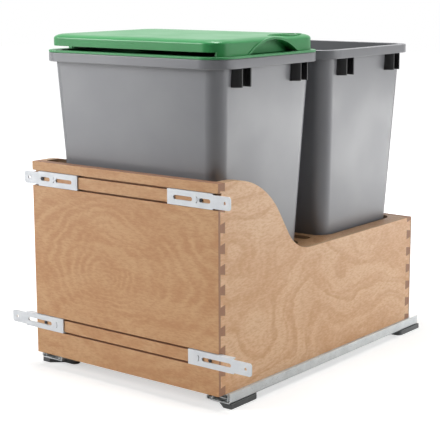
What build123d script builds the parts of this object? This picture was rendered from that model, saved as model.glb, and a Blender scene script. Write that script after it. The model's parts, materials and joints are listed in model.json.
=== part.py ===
from build123d import *
import math
import os

# Pull out trash cabinet: a plywood box with two tapered bins, carried on a pair of
# full-extension slides that stand on four feet on the cabinet floor.
# Millimetres. +Z up, -Y is the way the drawer pulls out, +X to the right seen from the front.
# The origin is on the cabinet floor, midway between the four floor screws.

# ---------------------------------------------------------------- driving dimensions
# plywood box
box_side_margin = 7.6         # box stands out past the bins' rims on each side
rear_rim_overhang = 7.5       # rear bin's rim stands out past the box's back
front_height = 305.0
low_side_height = 178.5
panel_thickness = 15.0
swoop_start = 30.0            # level stretch of the high side behind the front face
swoop_top_radius = 139.0
swoop_foot_radius = 70.0
swoop_angle = 56.0

# half-blind dovetails
dovetail_pitch = 29.5
pin_width = 13.7
pin_flare = 1.1               # how much wider each side of a pin is at its tip
front_lap = 4.5
rear_lap = 3.0
front_first_pin = 5.7         # centre of the lowest pin above the box's bottom edge
rear_first_pin = 1.5

# kerfs across the front panel, in two pairs
kerf_width = 3.0
kerf_depth = 7.0
kerf_spacing = 20.8
upper_kerf_height = 279.5     # middle of each pair above the box's bottom edge
lower_kerf_height = 51.0

# bottom and deck panels, let into grooves
bottom_thickness = 12.0
bottom_recess = 5.5
deck_thickness = 12.0
groove_depth = 6.0
deck_gap_side = 6.0           # room between a bin's wall and the deck's cut-out
deck_gap_end = 5.0
deck_corner_radius = 26.0
deck_slot_width = 20.0
deck_slot_end_gap = 36.5      # from the box's outer side to the slot's end

# bins
bin_width = 349.8
bin_depth = 260.0
bin_height = 454.0
bin_gap = 8.1                 # between the two rims
front_bin_setback = 12.8      # rim's front edge behind the box's front face
rim_corner_radius = 38.0
rim_overhang = 12.3
rim_height = 13.5
bin_draft = 0.05              # inward slope of each wall
bin_wall = 2.5
bin_wall_radius = 23.5
bin_base_recess = 2.0
bin_base_ring = 8.0           # standing ring round the recess under the base

# black clips under the rim
clip_height = 26.5
clip_rib = 2.2
clip_ribs_at = (52.0, 72.0)   # rib centres behind the rim's front edge, one clip
rear_clip_ribs_at = (195.0, 212.0)
clip_back = 2.0
clip_web_reach = 9.0
clip_web_radius = 18.0

# green ring and lid
ring_thickness = 3.0
ring_gap = 0.3
ring_lip_depth = 11.0
ring_lip_wall = 2.2
ring_lip_gap = 1.5
lid_inset = 8.0
lid_height = 24.3
lid_edge_radius = 6.5
lid_wall = 2.5
lid_corner_radius = 30.0
lid_gap = 0.3
lid_air_gap = 6.2             # skirt stands this high over the ring round the front and back
lid_air_gap_start = 58.0      # from the lid's front edge, along the hinge side
grip_length = 120.5           # arch in the skirt of the free side
grip_offset = 7.5             # arch's middle behind the lid's middle
grip_top_margin = 4.8         # from the arch's crown to the lid's top
grip_depth = 16.0
grip_lip = 3.0
grip_lip_stand = 1.2          # lip stands out past the skirt
grip_lip_top_margin = 2.5     # and stops this far below the lid's top
scoop_length = 72.0           # finger recess in the lid's top
scoop_width = 26.0
scoop_depth = 4.5
scoop_edge_margin = 0.5       # from the recess to the start of the lid's rolled edge
scoop_offset = 62.0           # recess's middle behind the lid's middle
hinge_radius = 3.6
hinge_pin_diameter = 2.8
hinge_clearance = 0.1
hinge_axis_height = 4.3       # above the ring's top
hinge_axis_outset = 4.0       # outside the lid's skirt
knuckle_length = 22.0
hinge_ear = 6.0
hinge_play = 0.4
hinge_spacing = 96.0          # between the two hinges' middles

# door brackets
bracket_length = 113.0
bracket_tongue = 31.0
bracket_tongue_height = 19.0
bracket_tongue_radius = 4.0
bracket_tongue_root = 12.0    # tongue runs on behind the wide plate
flange_end_gap = 2.0          # flanges stop short of the wide plate's outer end
bracket_thickness = 2.0
bracket_tip_hole_inset = 10.5
bracket_hole_diameter = 5.0
bracket_slot_width = 6.0
bracket_arc_radius = 7.0
bracket_arc_width = 1.2
bracket_arc_height = 9.0
flange_sheet = 1.5
flange_reach = 5.5
upper_reach = (16.0, 22.5)    # left and right tips past the box's sides
lower_reach = (53.5, 58.5)
upper_slots = ((28.5, 34.0), (68.0, 20.0))   # middle from the inner end, length
lower_slots = ((51.5, 52.0),)
upper_arcs = (48.0, 55.5)     # crown of the cut arc from the inner end, left and right
lower_arcs = (13.0, 20.5)
upper_screws = (75.0, 61.0)   # stop screws from the inner end, left and right
lower_screws = (39.5, 39.5)
bracket_screw_radius = 2.6
bracket_screw_head = 1.6
bracket_screw_length = 13.0

# slides
slide_setback = 16.0          # slide's front end behind the box's front face
travel_reserve = 23.4         # the slide travels its length less this
slide_side_margin = 7.5       # slides stand out past the box's sides
channel_width = 43.0
sheet = 1.5
bend_radius = 4.0
flange_rise = 15.5
hook_rise = 7.0
hook_lip = 3.0
roller_space = 4.75
roller_clearance = 0.05
roller_length = 16.0
rollers_per_cage = 4
roller_end_margin = 14.0      # from a cage's end to its first roller
cage_outset = 1.5             # cages run this far outboard of the channel's middle
cage_thickness = 2.4
cage_width = 23.0
cage_margin = 3.0
pocket_clearance = 0.3
side_gap = 1.4                # between one member's flange and the next
member_end_gap = 0.3
intermediate_inset = 9.0      # rails' inner faces from the channel's inner edge
drawer_inset = 6.2
intermediate_setback = 2.0
intermediate_foot = 6.0
foot_clearance = 0.8
drawer_leg = 9.5
drawer_inner_leg = 4.0
slide_screw_radius = 1.75
slide_screw_head_radius = 3.2
slide_screw_length = 15.0
slide_screws_per_side = 3
slide_screw_end_margin = 45.0
screw_clearance = 0.05
bumper_length = 9.0
bumper_gap = 0.5              # between the bumper's top and the rail above it
locating_hole_diameter = 9.0
locating_hole_inset = 19.0    # from the channel's outer face
locating_hole_setback = 7.0

# feet
foot_setback = 2.0            # front foot's end behind the slide's front end
foot_overhang = 5.0           # rear foot's end past the slide's rear end
foot_height = 8.0
foot_length = 65.5
foot_outset = 0.8
foot_width = 33.8
foot_face_width = 15.0
foot_chamfer_depth = 15.2
foot_tab_width = 16.0
foot_tab_reach = 56.5         # from the foot's outer face to the tab's round tip
floor_hole_diameter = 5.0
floor_hole_sink = 9.0
foot_end_radius = 8.0
rivet_radius = 2.0
rivet_head_radius = 3.4
rivet_inset = 7.0             # from the channel's inner edge
rivet_end_margin = 12.0       # from the foot's inboard end
rivet_recess = 1.0            # rivet's lower end above the floor

# ---------------------------------------------------------------- places worked out from them
box_width = bin_width + 2 * box_side_margin
box_depth = front_bin_setback + 2 * bin_depth + bin_gap - rear_rim_overhang
slide_length = box_depth
slide_travel = slide_length - travel_reserve
feet_span = slide_length - foot_setback + foot_overhang
slide_front = -feet_span / 2 - foot_setback
slide_rear = slide_front + slide_length
box_front = slide_front - slide_setback
box_back = box_front + box_depth
box_bottom = foot_height + 3 * sheet + 2 * roller_space
half_box = box_width / 2
side_inner = half_box - panel_thickness
low_edge = box_bottom + low_side_height
bottom_low = box_bottom + bottom_recess
bin_floor = bottom_low + bottom_thickness
rim_top = bin_floor + bin_height
rim_low = rim_top - rim_height
front_bin_y = box_front + front_bin_setback + bin_depth / 2
rear_bin_y = front_bin_y + bin_depth + bin_gap
ring_low = rim_top + ring_gap
ring_top = ring_low + ring_thickness
lid_low = ring_top + lid_gap
lid_top = lid_low + lid_height
lid_half_width = bin_width / 2 - lid_inset
lid_depth = bin_depth - 2 * lid_inset
hinge_x = -(lid_half_width + hinge_axis_outset)
hinge_z = ring_top + hinge_axis_height
upper_kerf_z = box_bottom + upper_kerf_height
lower_kerf_z = box_bottom + lower_kerf_height
bracket_height = kerf_spacing + flange_sheet
side_screw_x = (side_inner + groove_depth + half_box) / 2
channel_outer = half_box + slide_side_margin
channel_inner = channel_outer - channel_width
plate_low = foot_height
plate_top = plate_low + sheet
web_low = plate_top + roller_space
web_top = web_low + sheet
drawer_plate_low = web_top + roller_space
intermediate_outer = channel_outer - sheet - side_gap - sheet - side_gap
intermediate_inner = channel_inner + intermediate_inset
intermediate_rear = slide_rear - bumper_length - member_end_gap
roller_x = (channel_outer + channel_inner) / 2 + cage_outset
cage_front = slide_front + slide_travel / 4 + cage_margin
cage_rear = box_back - slide_travel / 4 - cage_margin


def block(x0, x1, y0, y1, z0, z1):
    """A plain block between two corners."""
    size = (x1 - x0, y1 - y0, z1 - z0)
    return Pos((x0 + x1) / 2, (y0 + y1) / 2, (z0 + z1) / 2) * Box(*size)


def mirrored(shape):
    """The same shape on the other side of the plane X = 0."""
    return mirror(shape, about=Plane.YZ)


def rounded_slab(width, depth, radius, y, z0, z1):
    """An upright slab with a rounded rectangle as its plan."""
    plan = Pos(0, y, z0) * RectangleRounded(width, depth, radius)
    return extrude(plan, z1 - z0)


def upright(plan, z0, z1):
    """A plan drawn on the floor, raised between two heights."""
    return extrude(Pos(0, 0, z0) * plan, z1 - z0)


def along_y(section, y0, y1):
    """A section drawn in X and Z, run from y0 to y1."""
    return Pos(0, y0, 0) * extrude(Plane.XZ * section, -(y1 - y0))


def along_x(section, x0, x1):
    """A section drawn in Y and Z, run from x0 to x1."""
    return Pos(x0, 0, 0) * extrude(Plane.YZ * section, x1 - x0)


def save(name, shapes):
    """Write one node; a list becomes a group of separate solids."""
    solids = []
    for shape in shapes if isinstance(shapes, (list, tuple)) else [shapes]:
        solids.extend(shape.solids())
    whole = solids[0] if len(solids) == 1 else Compound(children=solids)
    export_step(whole, os.path.join("parts", name + ".step"))


# ---------------------------------------------------------------- plywood box
def side_outline():
    """Side panel seen from the right: high front, S-shaped sweep, low rear edge."""
    a = math.radians(swoop_angle)
    drop = box_bottom + front_height - low_edge
    arcs_drop = (swoop_top_radius + swoop_foot_radius) * (1 - math.cos(a))
    straight = (drop - arcs_drop) / math.sin(a)
    top = box_bottom + front_height
    start = (box_front + swoop_start, top)
    y1 = start[0] + swoop_top_radius * math.sin(a)
    z1 = top - swoop_top_radius * (1 - math.cos(a))
    y2 = y1 + straight * math.cos(a)
    z2 = z1 - straight * math.sin(a)
    y3 = y2 + swoop_foot_radius * math.sin(a)
    h = a / 2
    mid_top = (start[0] + swoop_top_radius * math.sin(h), top - swoop_top_radius * (1 - math.cos(h)))
    mid_foot = (y3 - swoop_foot_radius * math.sin(h), low_edge + swoop_foot_radius * (1 - math.cos(h)))
    front = box_front + front_lap
    back = box_back - rear_lap
    edge = [
        Line((front, box_bottom), (front, top)),
        Line((front, top), start),
        ThreePointArc(start, mid_top, (y1, z1)),
        Line((y1, z1), (y2, z2)),
        ThreePointArc((y2, z2), mid_foot, (y3, low_edge)),
        Line((y3, low_edge), (back, low_edge)),
        Line((back, low_edge), (back, box_bottom)),
        Line((back, box_bottom), (front, box_bottom)),
    ]
    return make_face(edge)


def pin_row(y_root, y_tip, first, height):
    """Dovetail pins between the side's tails: narrow at the lap, wide at the tip."""
    pins = []
    count = int((height - first) / dovetail_pitch) + 2
    for k in range(count):
        z = box_bottom + first + k * dovetail_pitch
        root = pin_width / 2 - pin_flare
        tip = pin_width / 2 + pin_flare
        corners = [(y_root, z - root), (y_tip, z - tip), (y_tip, z + tip), (y_root, z + root)]
        pins.append(make_face(Polyline(*corners, close=True)))
    row = Sketch() + pins
    band = Rectangle(4 * box_depth, height, align=(Align.CENTER, Align.MIN))
    return row & (Pos(0, box_bottom) * band)


def kerfs():
    """Saw cuts right across the box's face, for the brackets' flanges."""
    cuts = []
    for middle in (upper_kerf_z, lower_kerf_z):
        for sign in (-1, 1):
            z = middle + sign * kerf_spacing / 2
            cuts.append(block(-box_width, box_width, box_front - 1, box_front + kerf_depth,
                              z - kerf_width / 2, z + kerf_width / 2))
    return cuts


def bottom_blank():
    """Bottom panel with its edges in the grooves."""
    return block(-side_inner - groove_depth, side_inner + groove_depth,
                 box_front + panel_thickness - groove_depth,
                 box_back - panel_thickness + groove_depth, bottom_low, bin_floor)


def bin_wall_half(z):
    """Half width and half depth of a bin's outer wall at height z."""
    slope = bin_draft * (rim_low - z)
    return (bin_width / 2 - rim_overhang - slope, bin_depth / 2 - rim_overhang - slope)


def deck_blank():
    """Deck panel with its edges in the grooves, before its cut-outs."""
    return block(-side_inner - groove_depth, side_inner + groove_depth,
                 box_front + panel_thickness - groove_depth,
                 box_back - panel_thickness + groove_depth,
                 low_edge - deck_thickness, low_edge)


def deck_panel():
    """Deck: one rounded cut-out round each bin and a slot across the bridge."""
    half_w, half_d = bin_wall_half(low_edge)
    cut_w = 2 * (half_w + deck_gap_side)
    cut_d = 2 * (half_d + deck_gap_end)
    deck = deck_blank()
    for y in (front_bin_y, rear_bin_y):
        deck -= rounded_slab(cut_w, cut_d, deck_corner_radius, y, low_edge - 2 * deck_thickness, low_edge + 1)
    slot_y = (front_bin_y + rear_bin_y) / 2
    slot_length = box_width - 2 * deck_slot_end_gap
    slot_plan = Pos(0, slot_y, low_edge - 2 * deck_thickness) * SlotOverall(slot_length, deck_slot_width)
    return deck - extrude(slot_plan, 4 * deck_thickness)


def right_side_panel():
    """Right side with its tails at both ends and grooves for the bottom and deck."""
    side = along_x(side_outline(), side_inner, half_box)
    front_pins = pin_row(box_front + front_lap, box_front + panel_thickness, front_first_pin, front_height)
    rear_pins = pin_row(box_back - rear_lap, box_back - panel_thickness, rear_first_pin, low_side_height)
    side -= along_x(front_pins, side_inner, half_box)
    side -= along_x(rear_pins, side_inner, half_box)
    return side - bottom_blank() - deck_blank()


def front_panel(sides):
    """Front with sockets for the tails, and two pairs of kerfs across its face."""
    back_face = box_front + panel_thickness
    front = block(-half_box, half_box, box_front, back_face, box_bottom, box_bottom + front_height)
    for side in sides:
        front -= side
    front -= bottom_blank()
    front -= deck_blank()
    for kerf in kerfs():
        front -= kerf
    return front


def back_panel(sides):
    """Low back panel with sockets for the rear tails."""
    back = block(-half_box, half_box, box_back - panel_thickness, box_back, box_bottom, low_edge)
    for side in sides:
        back -= side
    return back - bottom_blank() - deck_blank()


def slide_screw_places():
    """Distances along Y of the screws that hold one drawer member to the box."""
    first = slide_front + slide_screw_end_margin
    last = box_back - slide_screw_end_margin
    step = (last - first) / (slide_screws_per_side - 1)
    return [first + k * step for k in range(slide_screws_per_side)]


def slide_screw(y, extra=0.0):
    """Countersunk screw up through the drawer member into the side's bottom edge."""
    wide = slide_screw_head_radius + extra
    narrow = slide_screw_radius + extra
    head = Pos(side_screw_x, y, box_bottom - sheet / 2) * Cone(wide, narrow, sheet)
    shank_middle = Pos(side_screw_x, y, box_bottom + slide_screw_length / 2)
    return head + shank_middle * Cylinder(narrow, slide_screw_length + 2 * extra)


# ---------------------------------------------------------------- bins
def bin_core(y, inset, z0, z1, radius):
    """Tapered solid that follows the bin's wall, inset by a wall thickness."""
    views = []
    for k in (0, 1):
        low = bin_wall_half(z0)[k] - inset
        top = bin_wall_half(z1)[k] - inset
        corners = [(-low, z0), (low, z0), (top, z1), (-top, z1)]
        views.append(make_face(Polyline(*corners, close=True)))
    front_view, side_view = views
    core = along_y(front_view, -bin_depth, bin_depth) & along_x(side_view, -bin_width, bin_width)
    uprights = core.edges().filter_by(Axis.X, reverse=True).filter_by(Axis.Y, reverse=True)
    return Pos(0, y, 0) * fillet(uprights, radius)


def trash_bin(y):
    """Tapered bin with a turned-down rim and a raised base."""
    body = bin_core(y, 0, bin_floor, rim_top, bin_wall_radius)
    rim = rounded_slab(bin_width, bin_depth, rim_corner_radius, y, rim_low, rim_top)
    under_rim = rounded_slab(bin_width - 2 * bin_wall, bin_depth - 2 * bin_wall,
                             rim_corner_radius - bin_wall, y, rim_low - 1, rim_top - bin_wall)
    shell = body + (rim - under_rim)
    inside_low = bin_floor + bin_base_recess + bin_wall
    shell -= bin_core(y, bin_wall, inside_low, rim_top + 1, bin_wall_radius - bin_wall)
    foot_w, foot_d = bin_wall_half(bin_floor)
    shell -= rounded_slab(2 * (foot_w - bin_base_ring), 2 * (foot_d - bin_base_ring),
                          bin_wall_radius - bin_base_ring, y, bin_floor - 1, bin_floor + bin_base_recess)
    return shell


def bin_clips(y):
    """Four clips under the rim: a back on the wall and two ribs out to the rim's edge."""
    clips = []
    z1 = rim_low
    z0 = z1 - clip_height
    out = bin_width / 2
    wall = bin_core(y, 0, z0 - 5, z1 + 5, bin_wall_radius)
    front_edge = y - bin_depth / 2
    for first, second in (clip_ribs_at, rear_clip_ribs_at):
        a = front_edge + first
        b = front_edge + second
        root = bin_wall_half(z0)[0] - clip_back
        plan = Pos((root + out) / 2, a) * Rectangle(out - root, clip_rib)
        plan += Pos((root + out) / 2, b) * Rectangle(out - root, clip_rib)
        back_x1 = bin_wall_half(z1)[0] + clip_back
        plan += Pos((root + back_x1) / 2, (a + b) / 2) * Rectangle(back_x1 - root, b - a)
        # web ahead of the first rib, curving from the wall out to the rib's edge
        wall_x = bin_wall_half(z1)[0] - 1
        edge = [
            Line((wall_x, a - clip_web_reach), (wall_x, a)),
            Line((wall_x, a), (out, a)),
            RadiusArc((out, a), (wall_x, a - clip_web_reach), clip_web_radius),
        ]
        plan += make_face(edge)
        clip = upright(plan, z0, z1) - wall
        clips.append(clip)
        clips.append(mirrored(clip))
    return clips


# ---------------------------------------------------------------- ring and lid
def hinge_middles():
    """Middles along Y of the two lid hinges."""
    return [front_bin_y - hinge_spacing / 2, front_bin_y + hinge_spacing / 2]


def hinge_rod(radius, y0, y1):
    """Round bar on the lid's axis."""
    return along_y(Pos(hinge_x, hinge_z) * Circle(radius), y0, y1)


def lid_ring():
    """Flat ring on the bin's rim, a lip down into the bin, and the hinge ears."""
    y = front_bin_y
    ring = rounded_slab(bin_width, bin_depth, rim_corner_radius, y, ring_low, ring_top)
    lip_inset = rim_overhang + bin_wall + ring_lip_gap
    lip_radius = rim_corner_radius - lip_inset
    ring += rounded_slab(bin_width - 2 * lip_inset, bin_depth - 2 * lip_inset, lip_radius,
                         y, ring_low - ring_lip_depth, ring_low + ring_thickness / 2)
    bore_inset = lip_inset + ring_lip_wall
    bore_radius = lip_radius - ring_lip_wall
    ring -= rounded_slab(bin_width - 2 * bore_inset, bin_depth - 2 * bore_inset, bore_radius,
                         y, ring_low - ring_lip_depth - 1, ring_top + 1)
    for middle in hinge_middles():
        for sign in (-1, 1):
            near = middle + sign * (knuckle_length / 2 + hinge_play)
            far = near + sign * hinge_ear
            y0, y1 = min(near, far), max(near, far)
            ear = hinge_rod(hinge_radius, y0, y1)
            ear += block(hinge_x - hinge_radius, hinge_x + hinge_radius, y0, y1, ring_top - 1, hinge_z)
            ring += ear
        reach = knuckle_length / 2 + hinge_play + hinge_ear + 1
        ring -= hinge_rod(hinge_pin_diameter / 2 + screw_clearance, middle - reach, middle + reach)
    return ring


def hinge_pins():
    """One pin through each hinge."""
    reach = knuckle_length / 2 + hinge_play + hinge_ear
    return [hinge_rod(hinge_pin_diameter / 2, m - reach, m + reach) for m in hinge_middles()]


def grip_arch(grow, x0, x1):
    """Arch of the hand grip, seen from the right, between two X planes."""
    half = grip_length / 2 + grow
    top = lid_top - grip_top_margin + grow
    y = front_bin_y + grip_offset
    low = lid_low - 1
    edge = [
        Line((y - half, low), (y + half, low)),
        ThreePointArc((y + half, low), (y, top), (y - half, low)),
    ]
    return along_x(make_face(edge), x0, x1)


def scoop_ring(grow):
    """Thick ring stood on edge; its lowest part sinks the finger recess into the lid's top."""
    across = ((scoop_width / 2) ** 2 + scoop_depth ** 2) / (2 * scoop_depth)
    along = ((scoop_length / 2) ** 2 + scoop_depth ** 2) / (2 * scoop_depth)
    x = lid_half_width - lid_edge_radius - scoop_edge_margin - scoop_width / 2
    ring = Rot(0, 90, 0) * Rot(0, 0, 90) * Torus(along - across, across + grow)
    return Pos(x, front_bin_y + scoop_offset, lid_top - scoop_depth + along) * ring


def lid():
    """Moulded lid: rounded skirt and top, grip in the free side, knuckles on the other."""
    y = front_bin_y
    width = 2 * lid_half_width
    outer = rounded_slab(width, lid_depth, lid_corner_radius, y, lid_low, lid_top)
    outer = fillet(outer.faces().sort_by(Axis.Z)[-1].edges(), lid_edge_radius)
    inner = rounded_slab(width - 2 * lid_wall, lid_depth - 2 * lid_wall, lid_corner_radius - lid_wall,
                         y, lid_low - 1, lid_top - lid_wall)
    inner = chamfer(inner.faces().sort_by(Axis.Z)[-1].edges(), lid_edge_radius - lid_wall)
    # recessed wall of the grip, left standing inside the arch
    wall_x = lid_half_width - grip_depth
    pocket = grip_arch(lid_wall, wall_x - lid_wall, lid_half_width + 1)
    shell = outer - (inner - pocket)
    shell -= grip_arch(0, wall_x, lid_half_width + 1)
    # raised lip round the arch
    lip = grip_arch(grip_lip, lid_half_width - lid_wall, lid_half_width + grip_lip_stand)
    lip -= grip_arch(0, wall_x, lid_half_width + 2 * grip_lip_stand)
    lip &= block(0, 2 * width, y - lid_depth, y + lid_depth, lid_low, lid_top - grip_lip_top_margin)
    shell += lip
    # finger recess in the top, inboard of the grip
    skin = scoop_ring(lid_wall) & block(0, width, y - lid_depth, y + lid_depth, lid_low, lid_top - lid_wall)
    shell = shell + skin - scoop_ring(0)
    # air gap under the skirt, round the front and the back and the hinge side's corners
    front_edge = y - lid_depth / 2
    back_edge = y + lid_depth / 2
    end_x = lid_half_width - lid_corner_radius * (1 - math.sin(math.radians(45)))
    gap_top = lid_low + lid_air_gap
    corner = lid_corner_radius * (1 - math.cos(math.radians(45)))
    shell -= block(-width, end_x, front_edge - 1, front_edge + corner, lid_low - 1, gap_top)
    shell -= block(-width, end_x, back_edge - corner, back_edge + 1, lid_low - 1, gap_top)
    shell -= block(-width, 0, front_edge - 1, front_edge + lid_air_gap_start, lid_low - 1, gap_top)
    shell -= block(-width, 0, back_edge - lid_air_gap_start, back_edge + 1, lid_low - 1, gap_top)
    # knuckles
    for middle in hinge_middles():
        y0 = middle - knuckle_length / 2
        y1 = middle + knuckle_length / 2
        web = block(hinge_x, -lid_half_width + lid_wall, y0, y1,
                    hinge_z - hinge_radius, hinge_z + hinge_radius)
        shell += hinge_rod(hinge_radius, y0, y1) + web
        shell -= hinge_rod(hinge_pin_diameter / 2 + hinge_clearance, y0 - 1, y1 + 1)
    return shell


# ---------------------------------------------------------------- door brackets
def bracket(side, tip_x, z, slots, arc_at):
    """Zinc bracket: plate on the front, two flanges bent into the kerfs, tongue beyond."""
    wide = bracket_length - bracket_tongue
    plate = Pos(-(bracket_tongue + wide / 2), 0) * Rectangle(wide, bracket_height)
    tongue_length = bracket_tongue + bracket_tongue_root
    tongue = Pos(-tongue_length / 2, 0) * Rectangle(tongue_length, bracket_tongue_height)
    tongue = fillet(tongue.vertices().sort_by(Axis.X)[-2:], bracket_tongue_radius)
    plan = plate + tongue
    plan -= Pos(-bracket_tip_hole_inset, 0) * Circle(bracket_hole_diameter / 2)
    for middle, length in slots:
        plan -= Pos(middle - bracket_length, 0) * SlotOverall(length, bracket_slot_width)
    # cut arc, its crown to the right on a bracket of either side
    outer = bracket_arc_radius
    crescent = Circle(outer) - Circle(outer - bracket_arc_width)
    crescent &= Pos(side * outer / 2, 0) * Rectangle(outer, bracket_arc_height)
    plan -= Pos(arc_at - bracket_length - side * outer, 0) * crescent
    sheet_metal = extrude(Plane.XZ * plan, bracket_thickness)
    for sign in (-1, 1):
        edge = sign * bracket_height / 2
        z0, z1 = sorted((edge, edge - sign * flange_sheet))
        sheet_metal += block(-bracket_length, -bracket_tongue - flange_end_gap,
                             -bracket_thickness, flange_reach, z0, z1)
    if side < 0:
        sheet_metal = mirrored(sheet_metal)
    return Pos(tip_x, box_front, z) * sheet_metal


def bracket_screw(side, tip_x, z, from_inner_end):
    """Small stop screw in the front panel, inside a slot of the bracket."""
    x = tip_x - side * (bracket_length - from_inner_end)
    turn = Pos(x, box_front, z) * Rot(90, 0, 0)
    head = Pos(0, 0, bracket_screw_head / 2) * Cylinder(bracket_screw_radius, bracket_screw_head)
    shank = Pos(0, 0, -bracket_screw_length / 2) * Cylinder(bracket_screw_radius / 2, bracket_screw_length)
    return turn * (head + shank)


def bracket_list():
    """Name, side, tip, height, slots, arc and stop screw of each of the four brackets."""
    brackets = []
    for level, z, reach, slots, arcs, screws in (
        ("upper", upper_kerf_z, upper_reach, upper_slots, upper_arcs, upper_screws),
        ("lower", lower_kerf_z, lower_reach, lower_slots, lower_arcs, lower_screws),
    ):
        for k, (word, side) in enumerate((("left", -1), ("right", 1))):
            tip_x = side * (half_box + reach[k])
            brackets.append((f"{level}_{word}_door_bracket", side, tip_x, z, slots, arcs[k], screws[k]))
    return brackets


# ---------------------------------------------------------------- slides, right-hand pair
def strip(x0, x1, z0, z1):
    """One straight stretch of a member's section."""
    return Pos((x0 + x1) / 2, (z0 + z1) / 2) * Rectangle(x1 - x0, z1 - z0)


def locating_hole():
    """Place of the hole near the slide's front end."""
    return (channel_outer - locating_hole_inset, slide_front + locating_hole_setback)


def rivet_places():
    """Rivets of the two right-hand feet, under the channel's hook."""
    x = channel_inner + rivet_inset
    y = feet_span / 2 - foot_length + rivet_end_margin
    return [(x, -y), (x, y)]


def cabinet_member():
    """Fixed channel: outer flange, bottom plate with a rolled corner, hooked inner edge."""
    section = strip(channel_inner, channel_outer, plate_low, plate_top)
    section += strip(channel_outer - sheet, channel_outer, plate_low, plate_low + flange_rise)
    section += strip(channel_inner, channel_inner + sheet, plate_low, plate_low + hook_rise)
    section += strip(channel_inner, channel_inner + sheet + hook_lip,
                     plate_low + hook_rise - sheet, plate_low + hook_rise)
    # rolled outer corner: the bend's outside and inside arcs
    centre = Pos(channel_outer - bend_radius, plate_low + bend_radius)
    corner = Pos(channel_outer - bend_radius / 2, plate_low + bend_radius / 2)
    square = corner * Rectangle(bend_radius, bend_radius)
    bend = (centre * Circle(bend_radius) - centre * Circle(bend_radius - sheet)) & square
    section = (section - square) + bend
    member = along_y(section, slide_front, slide_rear)
    hx, hy = locating_hole()
    member -= Pos(hx, hy, plate_low) * Cylinder(locating_hole_diameter / 2, 10)
    for x, y in rivet_places():
        member -= Pos(x, y, plate_low + sheet / 2) * Cone(rivet_radius, rivet_head_radius, sheet)
    return member


def intermediate_member():
    """Moving rail: web on the lower rollers, two legs, one foot under the hook's lip."""
    x0 = intermediate_inner
    x1 = intermediate_outer
    foot_low = plate_top + foot_clearance
    section = strip(x0, x1, web_low, web_top)
    section += strip(x1 - sheet, x1, foot_low, web_top)
    section += strip(x0, x0 + sheet, foot_low, web_top)
    section += strip(x0 - intermediate_foot, x0, foot_low, foot_low + sheet)
    return along_y(section, slide_front + intermediate_setback, intermediate_rear)


def drawer_member():
    """Upper rail under the box side: plate, outer leg and a short inner leg."""
    x1 = channel_outer - sheet - side_gap
    x0 = channel_inner + drawer_inset
    section = strip(x0, x1, drawer_plate_low, box_bottom)
    section += strip(x1 - sheet, x1, box_bottom - drawer_leg, box_bottom)
    section += strip(x0, x0 + sheet, box_bottom - drawer_inner_leg, box_bottom)
    member = along_y(section, slide_front, box_back)
    for y in slide_screw_places():
        member -= slide_screw(y, screw_clearance)
    return member


def roller_places():
    """Distances along Y of the rollers in one cage."""
    first = cage_front + roller_end_margin
    last = cage_rear - roller_end_margin
    step = (last - first) / (rollers_per_cage - 1)
    return [first + k * step for k in range(rollers_per_cage)]


def roller_cage(z):
    """Plastic strip with a pocket for each roller."""
    cage = block(roller_x - cage_width / 2, roller_x + cage_width / 2, cage_front, cage_rear,
                 z - cage_thickness / 2, z + cage_thickness / 2)
    half_x = roller_length / 2 + pocket_clearance
    half_y = roller_space / 2 + pocket_clearance
    for y in roller_places():
        cage -= block(roller_x - half_x, roller_x + half_x, y - half_y, y + half_y,
                      z - cage_thickness, z + cage_thickness)
    return cage


def cage_rollers(z):
    """The rollers of one cage, lying across the slide."""
    radius = roller_space / 2 - roller_clearance
    return [Pos(roller_x, y, z) * Rot(0, 90, 0) * Cylinder(radius, roller_length) for y in roller_places()]


def closing_bumper():
    """Rubber stop in the channel behind the intermediate member."""
    return block(intermediate_inner, intermediate_outer, slide_rear - bumper_length, slide_rear,
                 plate_top, web_low - bumper_gap)


# ---------------------------------------------------------------- feet
def front_foot():
    """Right front foot: block under the channel, slanted nose, screw tab inboard."""
    outer = channel_outer + foot_outset
    inner = outer - foot_width
    y0 = -feet_span / 2
    y1 = y0 + foot_length
    tab_front = y0 + foot_chamfer_depth
    square_end = y1 - foot_end_radius
    nose = [(outer, y0), (outer - foot_face_width, y0), (inner, tab_front)]
    corners = nose + [(inner, square_end), (outer, square_end)]
    plan = make_face(Polyline(*corners, close=True))
    end_middle = Pos((outer + inner) / 2, y1 - foot_width / 2)
    plan += end_middle * RectangleRounded(foot_width, foot_width, foot_end_radius)
    tip = outer - foot_tab_reach + foot_tab_width / 2
    tab_y = tab_front + foot_tab_width / 2
    plan += Pos(tip, tab_y) * Circle(foot_tab_width / 2)
    plan += Pos((tip + outer) / 2, tab_y) * Rectangle(outer - tip, foot_tab_width)
    foot = upright(plan, 0, foot_height)
    foot -= Pos(tip, tab_y, foot_height / 2) * Cylinder(floor_hole_diameter / 2, 2 * foot_height)
    sink = (floor_hole_sink - floor_hole_diameter) / 2
    foot -= Pos(tip, tab_y, foot_height - sink / 2) * Cone(floor_hole_diameter / 2, floor_hole_sink / 2, sink)
    x, y = rivet_places()[0]
    return foot - Pos(x, y, foot_height / 2) * Cylinder(rivet_radius + screw_clearance, 2 * foot_height)


def rivet(x, y):
    """Flush rivet through the channel's plate and the foot."""
    head = Pos(x, y, plate_low + sheet / 2) * Cone(rivet_radius, rivet_head_radius, sheet)
    return head + Pos(x, y, (rivet_recess + plate_low) / 2) * Cylinder(rivet_radius, plate_low - rivet_recess)


def turned_end(shape):
    """The same shape at the slide's other end."""
    return mirror(shape, about=Plane.XZ)


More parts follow.
